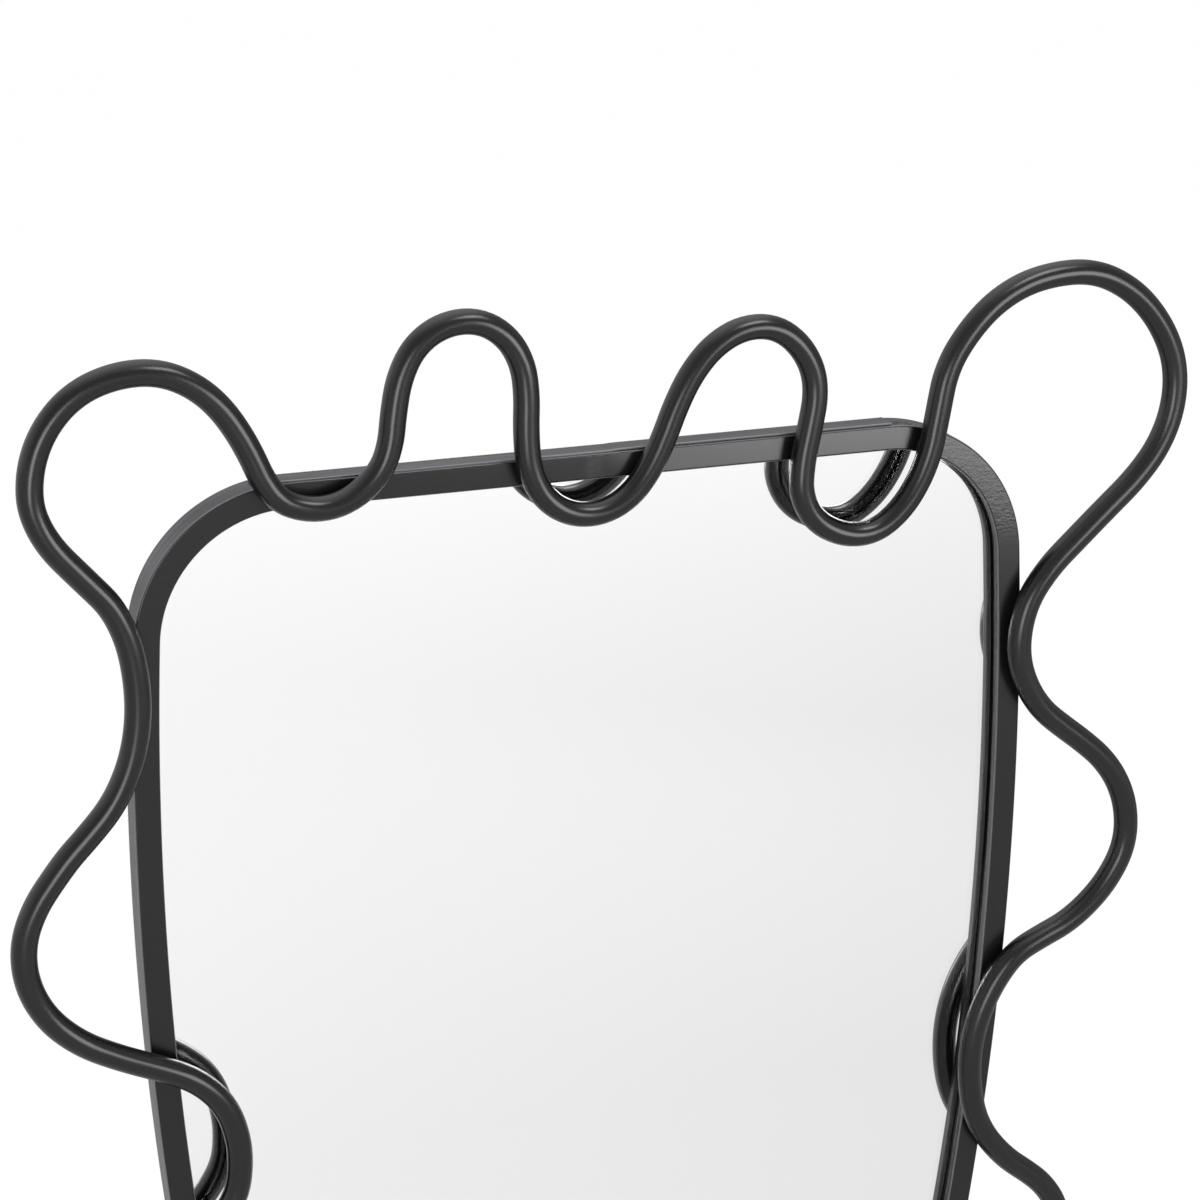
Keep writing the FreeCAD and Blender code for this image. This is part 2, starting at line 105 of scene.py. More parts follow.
def make_piece(
        name, bm, material, body="mirror", replaces=(), smooth=True, rim=None):
    """One piece in the CAD frame, its faces outwards; rim is a second finish for a plate's edge"""
    bmesh.ops.translate(bm, verts=bm.verts, vec=drawing_origin)
    bmesh.ops.recalc_face_normals(bm, faces=bm.faces)
    for face in bm.faces:
        face.smooth = smooth
    mesh = bpy.data.meshes.new(name)
    bm.to_mesh(mesh)
    bm.free()
    mesh.materials.append(material)
    if rim:
        mesh.materials.append(rim)
        for polygon in mesh.polygons:
            polygon.material_index = int(abs(polygon.normal.y) < faces_front)
    piece = bpy.data.objects.new(name, mesh)
    bpy.context.scene.collection.objects.link(piece)
    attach(piece, body)
    if replaces:
        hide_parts(*replaces)
    print(name, "faces:", len(mesh.polygons))
    return piece


def weighted_normals(piece):
    """Keeps wide flats flat and lets the narrow rounded edges turn between them"""
    modifier = piece.modifiers.new("weighted", "WEIGHTED_NORMAL")
    modifier.weight = 100


# %% [markdown]
# ## A bender
#
# Tube and bar are bent on a bender: the stock runs straight, then turns about a fixed
# point, then runs straight again. Blender's spin operator is that same machine. It
# drags a section along a straight line or round a centre, one small step at a time.

# %% The bender
FACING = (0, -1, 0)


def line_move(start, end, steps=1):
    """A straight run"""
    return {
        "centre": Vector(), "axis": FACING, "turn": 0.0, "shift": end - start, "bend": 0.0,
        "steps": steps}


def arc_move(centre, start, turn, step_length, axis=FACING):
    """A turn about a centre, anticlockwise as seen from the front"""
    radius = (start - centre).length
    steps = max(2, math.ceil(abs(turn) * radius / step_length))
    return {
        "centre": centre, "axis": axis, "turn": turn, "shift": Vector(), "bend": 1 / radius,
        "steps": steps}


def drag(bm, section, moves):
    """Drags a section along the moves, and returns each ring's points and its bend"""
    rings = []
    for move in moves:
        for index in range(move["steps"]):
            made = bmesh.ops.spin(
                bm, geom=section, cent=move["centre"], axis=move["axis"],
                dvec=move["shift"] / move["steps"], angle=move["turn"] / move["steps"], steps=1)
            section = made["geom_last"]
            points = [item for item in section if isinstance(item, bmesh.types.BMVert)]
            rings.append((points, move["bend"]))
    return rings


print("bender ready")

# %% [markdown]
# ## The frame's outline
#
# Each side is one long shallow arc, widest about a quarter of the way down, and each
# corner is a tight arc that touches the rail and the side. The same outline, moved
# inwards, gives the edge of the glass.

# %% The right half of the outline as bender moves
corner_step = 2.5 * MM
side_step = 12 * MM
rail_steps = 24


def corner(edge_drop, inset, inward):
    """Centre of a corner arc, across and down, and its radius"""
    radius = corner_radius - inset
    drop = edge_drop + inward * (inset + radius)
    reach = side_radius - inset - radius
    across = frame_width / 2 - side_radius + math.sqrt(reach ** 2 - (drop - widest_drop) ** 2)
    return Vector((across, 0, -drop)), radius


def half_outline(inset, y=0.0):
    """From the middle of the top rail round the right side to the middle of the bottom rail"""
    top, radius = corner(0.0, inset, 1)
    low = corner(frame_height, inset, -1)[0]
    side = Vector((frame_width / 2 - side_radius, 0, -widest_drop))
    top_turn = math.atan2(top.z - side.z, top.x - side.x) - math.pi / 2
    low_turn = -math.pi / 2 - math.atan2(low.z - side.z, low.x - side.x)
    side_turn = -math.pi - top_turn - low_turn
    points = [Vector((0, 0, -inset)), top + Vector((0, 0, radius))]
    points.append(side + (top - side).normalized() * (side_radius - inset))
    points.append(side + (low - side).normalized() * (side_radius - inset))
    points += [low - Vector((0, 0, radius)), Vector((0, 0, inset - frame_height))]
    lift = Vector((0, y, 0))
    points = [point + lift for point in points]
    moves = [
        line_move(points[0], points[1], rail_steps),
        arc_move(top + lift, points[1], top_turn, corner_step),
        arc_move(side + lift, points[2], side_turn, side_step),
        arc_move(low + lift, points[3], low_turn, corner_step),
        line_move(points[4], points[5], rail_steps),
    ]
    return points[0], moves


frame_moves = half_outline(0.0)[1]
print("side turns by", round(math.degrees(frame_moves[2]["turn"]), 2), "degrees")

# %% [markdown]
# ## Shader maths as plain sums
#
# A material is a graph of nodes. Wrapping each socket in a small class lets a sum such
# as `0.4 + 0.1 * grain` add its own Math nodes, which reads like the recipe it is.

# %% The socket class and the node maker
class Signal:
    """A socket that can stand in a sum"""

    def __init__(self, socket):
        self.socket = socket
        self.tree = socket.id_data

    def math(self, operation, first, second):
        sockets = {0: first, 1: second}
        return make_node(self.tree, "ShaderNodeMath", {"operation": operation}, sockets)

    def __add__(self, other):
        return self.math("ADD", self, other)

    def __radd__(self, other):
        return self.math("ADD", other, self)

    def __sub__(self, other):
        return self.math("SUBTRACT", self, other)

    def __rsub__(self, other):
        return self.math("SUBTRACT", other, self)

    def __mul__(self, other):
        return self.math("MULTIPLY", self, other)

    def __rmul__(self, other):
        return self.math("MULTIPLY", other, self)


def make_node(tree, kind, settings, inputs, output=0):
    """A node with its settings made first and its sockets set or linked after"""
    node = tree.nodes.new(kind)
    for name, value in settings.items():
        setattr(node, name, value)
    for name, value in inputs.items():
        if isinstance(value, Signal):
            tree.links.new(value.socket, node.inputs[name])
        else:
            node.inputs[name].default_value = value
    return Signal(node.outputs[output])


def new_material(name):
    """An empty material, its tree and the place on the object"""
    material = bpy.data.materials.new(name)
    material.use_nodes = True
    tree = material.node_tree
    tree.nodes.clear()
    place = make_node(tree, "ShaderNodeTexCoord", {}, {}, output="Object")
    return material, tree, place


def split_place(tree, place):
    """The X, Y and Z of a place"""
    split = tree.nodes.new("ShaderNodeSeparateXYZ")
    tree.links.new(place.socket, split.inputs[0])
    return [Signal(socket) for socket in split.outputs]


def finish_material(tree, shader):
    output = tree.nodes.new("ShaderNodeOutputMaterial")
    tree.links.new(shader.socket, output.inputs["Surface"])


def finish_principled(tree, sockets):
    """Ends a material in one Principled shader"""
    finish_material(tree, make_node(tree, "ShaderNodeBsdfPrincipled", {}, sockets))


def grain(tree, place, scale, detail=2.0, roughness=0.5, stretch=(1, 1, 1)):
    """Soft random grain; the scale is in grains per metre"""
    held = make_node(tree, "ShaderNodeMapping", {}, {"Vector": place, "Scale": stretch})
    sockets = {"Vector": held, "Scale": scale, "Detail": detail, "Roughness": roughness}
    return make_node(tree, "ShaderNodeTexNoise", {}, sockets)


def mix_colours(tree, factor, first, second):
    """Between two colours, each a socket or four numbers; a Mix node's sockets go by number"""
    sockets = {0: factor, 6: first, 7: second}
    return make_node(tree, "ShaderNodeMix", {"data_type": "RGBA"}, sockets, output=2)


def blend_colours(tree, factor, first, second):
    """Between two plain colours"""
    return mix_colours(tree, factor, (*first, 1), (*second, 1))


def bumped(tree, height, distance):
    return make_node(tree, "ShaderNodeBump", {}, {"Height": height, "Distance": distance})


def clamp_ramp(tree, value, low, high):
    """0 below low, 1 above high and straight between them"""
    sockets = {"Value": value, "From Min": low, "From Max": high}
    return make_node(tree, "ShaderNodeMapRange", {}, sockets)


print("shader helpers ready")

# %% [markdown]
# ## The powder coat
#
# The steel is powder coated: dry paint is blown on, clings by static and melts into one
# satin skin. It keeps a soft orange peel of about two millimetres and a finer grain in
# it. Noise at those two sizes drives a bump, and a wide slow noise lets the gloss drift
# a little, so that no long rail looks like plastic film. Flat stock also keeps the fine
# lines of the rolling mill, which run along it and show through the coat. Their lighter
# colour on a bar's top and sides is partly a painted sheen, and the bar's front arrises
# are painted lighter as a painted highlight.

# %% The coat
COAT_DARK = (0.0026, 0.0027, 0.0029)
COAT_LIGHT = (0.0040, 0.0041, 0.0043)
# The lighter grey of the mill lines' painted sheen and of the arrises' painted highlight.
COAT_IOR = 1.42
LINE_AND_HIGHLIGHT_GREY = (0.150, 0.150, 0.158, 1)
PEEL = 0.012 * MM
MILL_PEELS = 16


def coat_parts(tree, place):
    """Colour, roughness and height of the plain coat; a height counts in peels"""
    cloud = grain(tree, place, 14)
    peel = grain(tree, place, 430, detail=1.0)
    fine = grain(tree, place, 2300, detail=1.0)
    colour = blend_colours(tree, cloud, COAT_DARK, COAT_LIGHT)
    roughness = 0.20 + 0.05 * cloud + 0.04 * fine
    height = 0.55 * peel + 0.18 * fine
    return colour, roughness, height


def mill_lines_and_highlights(tree, place, colour, height, arris_highlight):
    """Adds the fine mill lines along a bar's sides, lighter as a painted sheen, and a painted
    highlight on its front arrises
    """
    depth = split_place(tree, place)[1] - drawing_origin.y
    beside = clamp_ramp(tree, depth, 0.6 * MM, 1.6 * MM)
    lines = grain(tree, place, 1, detail=3.0, roughness=0.65, stretch=(5, 260, 5))
    # The mill lines are painted lighter on the top and side faces, a painted sheen there.
    bright = 0.34 * beside * clamp_ramp(tree, lines, 0.46, 0.68)
    # The band at the front arris is painted lighter as a painted highlight.
    starts = clamp_ramp(tree, depth, 0.15 * MM, 0.5 * MM)
    arris = starts * clamp_ramp(tree, depth, 1.6 * MM, 1.1 * MM)
    colour = mix_colours(tree, bright + arris_highlight * arris, colour, LINE_AND_HIGHLIGHT_GREY)
    return colour, height + MILL_PEELS * beside * lines


def finish_coat(tree, colour, roughness, height):
    finish_principled(tree, {
        "Base Color": colour, "Roughness": roughness, "Normal": bumped(tree, height, PEEL),
        "IOR": COAT_IOR})


powder_coat, tree, place = new_material("powder_coat")
finish_coat(tree, *coat_parts(tree, place))

bar_coat, tree, place = new_material("bar_coat")
colour, roughness, height = coat_parts(tree, place)
# The strip's front arrises are painted lighter, as a painted highlight.
colour, height = mill_lines_and_highlights(tree, place, colour, height, arris_highlight=0.8)
finish_coat(tree, colour, roughness, height)
print("coats:", powder_coat.name, bar_coat.name)

# %% [markdown]
# ## The coat on the frame
#
# The frame wears the same coat, but three things in it show the work below. Where the
# two halves were joined, the weld was ground off, and the grinding left the steel duller
# there. The right half sprang back a few degrees when it was bent, so its face leans
# back and catches more light. And on each top corner the bending wrinkled the face a
# little, like leather. All three are masks on the piece's own place.

# %% The coat with its ground seam and wrinkled corners
seam_place = -4 * MM
wrinkle_peels = 14
sprung_lean = 0.09


def band(tree, value, low, high, soft):
    """1 between two limits, with soft edges"""
    rises = clamp_ramp(tree, value, low - soft, low)
    falls = clamp_ramp(tree, value, high, high + soft)
    return rises * (1 - falls)


frame_coat, tree, place = new_material("frame_coat")
place_x, _, place_z = split_place(tree, place)
across = place_x - drawing_origin.x
up = place_z - drawing_origin.z
colour, roughness, height = coat_parts(tree, place)
# The frame's front arrises are painted lighter too, as a painted highlight.
colour, height = mill_lines_and_highlights(tree, place, colour, height, arris_highlight=0.7)
on_top_rail = clamp_ramp(tree, up, -24 * MM, -18 * MM)
ground = band(tree, across, seam_place - 2 * MM, seam_place + 5 * MM, 4 * MM) * on_top_rail
sides = make_node(tree, "ShaderNodeMath", {"operation": "ABSOLUTE"}, {0: across})
bent = clamp_ramp(tree, sides, 215 * MM, 235 * MM) * clamp_ramp(tree, up, -90 * MM, -70 * MM)
wrinkle = grain(tree, place, 260, detail=3.0, roughness=0.6, stretch=(1, 1, 1.9))
worn = 0.5 * ground * grain(tree, place, 900)
colour = mix_colours(tree, worn, colour, (0.034, 0.034, 0.035, 1))
right_half = clamp_ramp(tree, across, seam_place + 2 * MM, seam_place + 30 * MM)
sprung = make_node(
    tree, "ShaderNodeMath", {"operation": "SMOOTH_MAX"}, {0: up, 1: -75 * MM, 2: 90 * MM})
height = height + wrinkle_peels * bent * wrinkle - (sprung_lean / PEEL) * sprung * right_half
finish_coat(tree, colour, roughness + 0.06 * worn, height)
print("frame coat:", frame_coat.name)

# %% [markdown]
# ## The frame
#
# The frame is a rectangular tube of 16 by 22 mm with rounded arrises, bent flat round
# the outline in two halves. The section is four points and a vertex bevel. The bender
# drags it round the right half, and the left half is its mirror image. Weighted normals
# keep the wide flats flat and let only the arrises turn the light.

# %% Bend the frame
same_place = 0.01 * MM


def rounded_rectangle(bm, x, near, far, low, high, arris, segments=3):
    """A closed section across the X axis, without its face"""
    places = (near, low), (far, low), (far, high), (near, high)
    corners = [bm.verts.new((x, y, z)) for y, z in places]
    bm.faces.new(corners)
    bmesh.ops.bevel(
        bm, geom=corners, offset=arris, offset_type="OFFSET", affect="VERTICES", segments=segments,
        profile=0.5, material=-1)
    bmesh.ops.delete(bm, geom=bm.faces[:], context="FACES_ONLY")
    return bm.verts[:] + bm.edges[:]


def mirror_across(bm):
    """The left half as a mirror image, with the halves joined in the middle"""
    whole = bm.verts[:] + bm.edges[:] + bm.faces[:]
    bmesh.ops.mirror(bm, geom=whole, matrix=Matrix.Identity(4), merge_dist=same_place, axis="X")
    bmesh.ops.remove_doubles(bm, verts=bm.verts, dist=same_place)


bm = bmesh.new()
section = rounded_rectangle(bm, 0, 0, bar_depth, -bar_face, 0, bar_arris, segments=4)
drag(bm, section, frame_moves)
mirror_across(bm)
weighted_normals(make_piece(
    "frame_bar", bm, frame_coat,
    replaces=("frame_left", "frame_right", "seam_weld_top", "seam_weld_bottom")))

# %% [markdown]
# ## The waved tube's route
#
# The tube was bent freehand over blocks, so its waves are all a little different. Each
# row is a place on its axis as shares of the frame's width and height, and the way it
# heads there as a share of a turn. Two arcs join each row to the next, as two turns of
# a bender would.

# %% The route
wave_shares = [
    (-0.588, -0.388, 0.372), (-0.622, -0.330, 0.250), (-0.597, -0.280, 0.150),
    (-0.562, -0.250, 0.125), (-0.517, -0.211, 0.172), (-0.494, -0.144, 0.250),
    (-0.512, -0.081, 0.322), (-0.543, -0.052, 0.364),
    (-0.577, -0.021, 0.331), (-0.590, 0.011, 0.250), (-0.558, 0.068, 0.128),
    (-0.480, 0.090, 0.000), (-0.408, 0.067, -0.128), (-0.377, 0.035, -0.175),
    (-0.352, -0.001, -0.156), (-0.301, -0.018, 0.000), (-0.245, 0.000, 0.128),
    (-0.225, 0.035, 0.233),
    (-0.208, 0.083, 0.172), (-0.149, 0.108, 0.000), (-0.095, 0.085, -0.167),
    (-0.083, 0.039, -0.256), (-0.071, -0.018, -0.172), (-0.015, -0.042, 0.000),
    (0.042, -0.021, 0.147), (0.073, 0.021, 0.192),
    (0.110, 0.067, 0.133), (0.169, 0.087, 0.000), (0.230, 0.056, -0.183),
    (0.235, 0.021, -0.278), (0.223, -0.032, -0.256), (0.251, -0.070, -0.092),
    (0.292, -0.079, 0.000), (0.348, -0.055, 0.150), (0.376, -0.007, 0.222),
    (0.402, 0.058, 0.158), (0.460, 0.097, 0.078), (0.535, 0.109, 0.000),
    (0.625, 0.080, -0.128), (0.667, 0.013, -0.250), (0.637, -0.046, -0.358),
    (0.572, -0.090, -0.383), (0.509, -0.135, -0.347), (0.489, -0.182, -0.250),
    (0.512, -0.230, -0.153), (0.560, -0.262, -0.106),
    (0.610, -0.296, -0.150), (0.635, -0.349, -0.250), (0.602, -0.402, -0.369),
    (0.548, -0.429, -0.439), (0.490, -0.453, -0.361), (0.448, -0.537, -0.250),
    (0.475, -0.606, -0.153), (0.515, -0.636, -0.106),
    (0.555, -0.663, -0.150), (0.573, -0.698, -0.250), (0.545, -0.749, -0.361),
    (0.487, -0.779, -0.417), (0.425, -0.807, -0.356), (0.392, -0.856, -0.250),
    (0.420, -0.901, -0.150), (0.468, -0.929, -0.111),
    (0.510, -0.960, -0.167), (0.520, -1.008, -0.250), (0.486, -1.071, -0.372),
    (0.400, -1.100, 0.500), (0.316, -1.068, 0.344), (0.287, -1.022, 0.294),
    (0.262, -0.976, 0.350), (0.205, -0.955, 0.500), (0.150, -0.978, 0.656),
    (0.118, -1.026, 0.694),
    (0.086, -1.071, 0.644), (0.020, -1.097, 0.500), (-0.045, -1.068, 0.339),
    (-0.070, -1.022, 0.294), (-0.095, -0.980, 0.361), (-0.150, -0.960, 0.500),
    (-0.202, -0.983, 0.656), (-0.230, -1.026, 0.694),
    (-0.265, -1.075, 0.633), (-0.345, -1.103, 0.500), (-0.450, -1.071, 0.367),
    (-0.492, -1.004, 0.250), (-0.465, -0.952, 0.144), (-0.415, -0.920, 0.122),
    (-0.378, -0.888, 0.178), (-0.370, -0.849, 0.250), (-0.405, -0.800, 0.367),
    (-0.460, -0.774, 0.417),
    (-0.525, -0.740, 0.356), (-0.555, -0.684, 0.250), (-0.530, -0.631, 0.150),
    (-0.480, -0.596, 0.122), (-0.418, -0.547, 0.172), (-0.408, -0.512, 0.250),
    (-0.440, -0.452, 0.375), (-0.507, -0.424, 0.433),
]
wave_step = 4 * MM


def wave_place(row):
    return Vector((row[0] * frame_width, tube_axis, row[1] * frame_height))


def wave_heading(row):
    turn = 2 * math.pi * row[2]
    return Vector((math.cos(turn), 0, math.sin(turn)))


def arc_towards(start, heading, end):
    """A bender move from a start and a heading to an end"""
    chord = end - start
    heading = heading.normalized()
    left = Vector((-heading.z, 0, heading.x))
    half_turn = math.atan2(chord.dot(left), chord.dot(heading))
    radius = chord.length / (2 * math.sin(half_turn))
    return arc_move(start + left * radius, start, 2 * half_turn, wave_step)


def two_arcs(first, second):
    """The two arcs from one row to the next, which meet smoothly halfway"""
    start, end = wave_place(first), wave_place(second)
    chord = end - start
    both = wave_heading(first) + wave_heading(second)
    square = both.dot(both) - 4
    slope = chord.dot(both)
    length = (slope - math.sqrt(slope ** 2 - square * chord.dot(chord))) / square
    leave = start + wave_heading(first) * length
    arrive = end - wave_heading(second) * length
    middle = (leave + arrive) / 2
    first_arc = arc_towards(start, wave_heading(first), middle)
    return [first_arc, arc_towards(middle, arrive - leave, end)]


wave_moves = []
for index, row in enumerate(wave_shares):
    wave_moves += two_arcs(wave_shares[index - 1], row)
tightest = 1 / max(move["bend"] for move in wave_moves)
print("arcs:", len(wave_moves), "tightest bend:", round(tightest, 4))

# %% [markdown]
# ## The waved tube
#
# A 16 mm round tube winds along that route over the frame's front. The bender drags a
# circle of 32 points along it and joins the last ring to the first. A real tube
# flattens a little where it is bent tightly, so each ring is then squeezed in the plane
# of the bend, most where the bend is tightest.

# %% Bend the waved tube
most_squeeze = 0.06
tight_bend = 1 / (30 * MM)
near_rings = 4
tube_segments = 32


def squeeze_rings(rings):
    """Narrows each ring by how tight the bends near it are, and returns the rings' middles"""
    bends = [bend for points, bend in rings]
    places = []
    for index, (points, bend) in enumerate(rings):
        offsets = range(-near_rings, near_rings + 1)
        near = [bends[(index + offset) % len(bends)] for offset in offsets]
        squeeze = most_squeeze * min(1, (sum(near) / len(near) / tight_bend) ** 2)
        centre = sum((point.co for point in points), Vector()) / len(points)
        for point in points:
            reach = point.co - centre
            point.co = centre + Vector((reach.x * (1 - squeeze), reach.y, reach.z * (1 - squeeze)))
        places.append(centre)
    return places


def circle_section(bm, centre, heading, radius, segments):
    """A ring of points square to a heading"""
    turned = Vector((0, 0, 1)).rotation_difference(heading).to_matrix().to_4x4()
    made = bmesh.ops.create_circle(
        bm, cap_ends=False, radius=radius, segments=segments,
        matrix=Matrix.Translation(centre) @ turned)
    return made["verts"] + list({edge for vert in made["verts"] for edge in vert.link_edges})


bm = bmesh.new()
last_row = wave_shares[-1]
section = circle_section(
    bm, wave_place(last_row), wave_heading(last_row), tube_radius, tube_segments)
rings = drag(bm, section, wave_moves)
bmesh.ops.remove_doubles(bm, verts=bm.verts, dist=5 * same_place)
rings = [([point for point in points if point.is_valid], bend) for points, bend in rings]
rings = [ring for ring in rings if ring[0]]
wave_places = squeeze_rings(rings)
wave_names = [name for name in nodes if name.startswith("wave_") and name != "wave_welds"]
make_piece("waved_tube", bm, powder_coat, replaces=wave_names)

# %% [markdown]
# ## Glass, silver and board
#
# The mirror is a stack: clear 5 mm glass with a ground and sealed edge, a film of silver
# on its back, tape, and a fibreboard. Each is the frame's outline moved inwards by the
# bar and a small gap. The outline is one point dragged by the bender. The silver sinks
# a hair into the glass, so that no air lies between them, as on a real mirror.

# %% Plates from the outline
def span(edge):
    """From an edge's one end to its other"""
    return edge.verts[1].co - edge.verts[0].co


def bevel_edges(bm, edges, width, segments):
    bmesh.ops.bevel(
        bm, geom=edges, offset=width, offset_type="OFFSET", affect="EDGES", segments=segments,
        profile=0.5, material=-1)


def outline_plate(inset, front, thickness, edge_width, segments):
    """A plate with softened front and back edges"""
    bm = bmesh.new()
    start, moves = half_outline(inset, front)
    drag(bm, [bm.verts.new(start)], moves)
    mirror_across(bm)
    bmesh.ops.holes_fill(bm, edges=bm.edges, sides=0)
    made = bmesh.ops.extrude_face_region(bm, geom=bm.faces[:])
    back = [item for item in made["geom"] if isinstance(item, bmesh.types.BMVert)]
    bmesh.ops.translate(bm, verts=back, vec=(0, thickness, 0))
    rims = [edge for edge in bm.edges if abs(span(edge).y) < MM / 10]
    bevel_edges(bm, rims, edge_width, segments)
    return bm


glass_material, tree, place = new_material("clear_glass")
smear = grain(tree, place, 30, detail=3.0)
tint = blend_colours(tree, smear, (0.988, 0.988, 0.988), (0.994, 0.994, 0.994))
finish_principled(
    tree, {"Base Color": tint, "Roughness": 0.0, "IOR": 1.5, "Transmission Weight": 1.0})

ground_rim, tree, place = new_material("ground_rim")
scratches = grain(tree, place, 1400, detail=3.0)
tint = blend_colours(tree, scratches, (0.006, 0.007, 0.007), (0.016, 0.018, 0.018))
finish_principled(tree, {
    "Base Color": tint, "Roughness": 0.55 + 0.2 * scratches,
    "Normal": bumped(tree, scratches, 0.02 * MM), "IOR": 1.3})

silvering, tree, place = new_material("silvering")
cloud = grain(tree, place, 5)
tone = blend_colours(tree, cloud, (0.955, 0.958, 0.956), (0.965, 0.967, 0.965))
finish_principled(tree, {"Base Color": tone, "Metallic": 1.0, "Roughness": 0.0})

fibreboard, tree, place = new_material("fibreboard")
fibres = grain(tree, place, 700, detail=5.0, roughness=0.7, stretch=(1, 1, 0.35))
flecks = grain(tree, place, 1900, detail=2.0, roughness=0.6)
stain = grain(tree, place, 7, detail=2.0)
streak = 0.7 * fibres + 0.3 * stain
brown = blend_colours(tree, streak, (0.245, 0.155, 0.086), (0.405, 0.285, 0.175))
dark_fleck = 0.5 * clamp_ramp(tree, flecks, 0.58, 0.72)
brown = mix_colours(tree, dark_fleck, brown, (0.145, 0.088, 0.048, 1))
finish_principled(tree, {
    "Base Color": brown, "Roughness": 0.72 + 0.14 * fibres,
    "Normal": bumped(tree, 0.6 * fibres + 0.4 * flecks, 0.15 * MM)})

panel_inset = bar_face + panel_gap
silver_bite = 0.05 * MM
silver_thickness = 0.3 * MM
tape_thickness = 1 * MM
board_thickness = 4 * MM
glass_edge = 0.25 * MM
silver_edge = 0.04 * MM
board_edge = 0.4 * MM
silver_front = glass_recess + glass_thickness - silver_bite
board_front = glass_recess + glass_thickness + silver_thickness + tape_thickness
make_piece(
    "glass_plate", outline_plate(panel_inset, glass_recess, glass_thickness, glass_edge, 1),
    glass_material, replaces=("mirror_glass",), smooth=False, rim=ground_rim)
make_piece(
    "silver_film",
    outline_plate(panel_inset, silver_front, silver_thickness + silver_bite, silver_edge, 1),
    silvering, replaces=("silvered_back",), smooth=False)
make_piece(
    "back_board", outline_plate(panel_inset, board_front, board_thickness, board_edge, 2),
    fibreboard, replaces=("backing_board",), smooth=False)

# %% [markdown]
# ## The strip on the top rail
#
# A thin flat bar lies on the top rail. Its left end is bent down with the corner, and
# past the ground seam it is joggled: two small opposite bends lift its right part by
# half a millimetre. The section is dragged from the right end through all these bends.
# Its ends are filled and all sharp edges softened.

# %% The joggled strip
strip_start = -0.364 * frame_width
strip_end = 0.334 * frame_width
strip_thickness = 1.2 * MM
strip_front = 0.3 * MM
strip_depth = 16 * MM
strip_rise = 0.5 * MM
strip_arris = 0.5 * MM
joggle_start = 4 * MM
joggle_length = 12 * MM
joggle_step = 0.5 * MM
strip_steps = 20


def soften(bm, width, segments=2, sharper=0.6):
    """Rounds every edge whose faces meet at more than the given angle"""
    bm.normal_update()
    edges = [edge for edge in bm.edges if len(edge.link_faces) == 2]
    bevel_edges(bm, [edge for edge in edges if edge.calc_face_angle() > sharper], width, segments)


joggle_radius = (joggle_length ** 2 + strip_rise ** 2) / (4 * strip_rise)
joggle_turn = math.asin(joggle_length / (2 * joggle_radius))
middle_height = strip_thickness / 2
low_bend = Vector((joggle_start, 0, middle_height))
high_bend = low_bend + Vector((joggle_length, 0, strip_rise))
above, below = Vector((0, 0, joggle_radius)), Vector((0, 0, -joggle_radius))
left_corner = corner(0.0, 0.0, 1)[0] * Vector((-1, 1, 1))
bend_start = Vector((left_corner.x, 0, middle_height))
end_turn = math.asin((left_corner.x - strip_start) / corner_radius)
bm = bmesh.new()
section = rounded_rectangle(
    bm, strip_end, strip_front, strip_front + strip_depth, strip_rise,
    strip_rise + strip_thickness, strip_arris)
drag(bm, section, [
    line_move(Vector((strip_end, 0, high_bend.z)), high_bend, strip_steps),
    arc_move(high_bend + below, high_bend, joggle_turn, joggle_step),
    arc_move(low_bend + above, (low_bend + high_bend) / 2, -joggle_turn, joggle_step),
    line_move(low_bend, bend_start, strip_steps),
    arc_move(left_corner, bend_start, end_turn, 1 * MM)])
bmesh.ops.holes_fill(bm, edges=bm.edges, sides=0)
soften(bm, 0.15 * MM, segments=1, sharper=1.2)
weighted_normals(make_piece("joggled_strip", bm, bar_coat, replaces=("top_strip",)))

# %% [markdown]
# ## Weld beads
#
# A weld bead is a row of overlapping drops of steel, each laid on the last before it
# froze. So a bead here is a row of flattened balls, melted into one skin by a voxel
# remesh that is fine enough to keep the ripples. The short beads under the waved tube
# are found from their CAD solids: each gives its middle, and the nearest ring of the
# tube gives the way that it runs.

# %% Rows of drops
def drop(bm, centre, reach, turn=0.0):
    """One drop, with its three half sizes and a turn seen from the front"""
    turned = Matrix.Translation(centre) @ Matrix.Rotation(-turn, 4, "Y")
    bmesh.ops.create_icosphere(
        bm, subdivisions=2, radius=1, matrix=turned @ Matrix.Diagonal((*reach, 1)))


def melt(name, bm, voxel, replaces):
    """Melts the drops into one skin"""
    piece = make_piece(name, bm, powder_coat, replaces=replaces)
    remesh = piece.modifiers.new("melt", "REMESH")
    remesh.mode = "VOXEL"
    remesh.voxel_size = voxel
    remesh.use_smooth_shade = True
    relax = piece.modifiers.new("relax", "SMOOTH")
    relax.iterations = 2
    bpy.context.view_layer.update()
    finished = piece.evaluated_get(bpy.context.evaluated_depsgraph_get())
    melted = bpy.data.meshes.new_from_object(finished)
    piece.modifiers.clear()
    piece.data = melted
    print(name, "melted into", len(melted.polygons), "faces")


def solids_of(node):
    """The middle of each separate solid of a CAD node, from the drawing's origin"""
    bm = bmesh.new()
    bm.from_mesh(nodes[node].data)
    bmesh.ops.remove_doubles(bm, verts=bm.verts, dist=2 * same_place)
    waiting = set(bm.verts)
    middles = []
    while waiting:
        island, front = set(), [waiting.pop()]
        while front:
            vert = front.pop()
            island.add(vert)
            reached = {edge.other_vert(vert) for edge in vert.link_edges} & waiting
            waiting -= reached
            front += reached
        low = Vector([min(vert.co[axis] for vert in island) for axis in range(3)])
        high = Vector([max(vert.co[axis] for vert in island) for axis in range(3)])
        middles.append((low + high) / 2 - drawing_origin)
    bm.free()
    return middles


bead_front = -0.7 * MM
bead_depth = 1.25 * MM
bead_reach = 6 * MM
drop_every, bead_aside = 2.1, 3.6

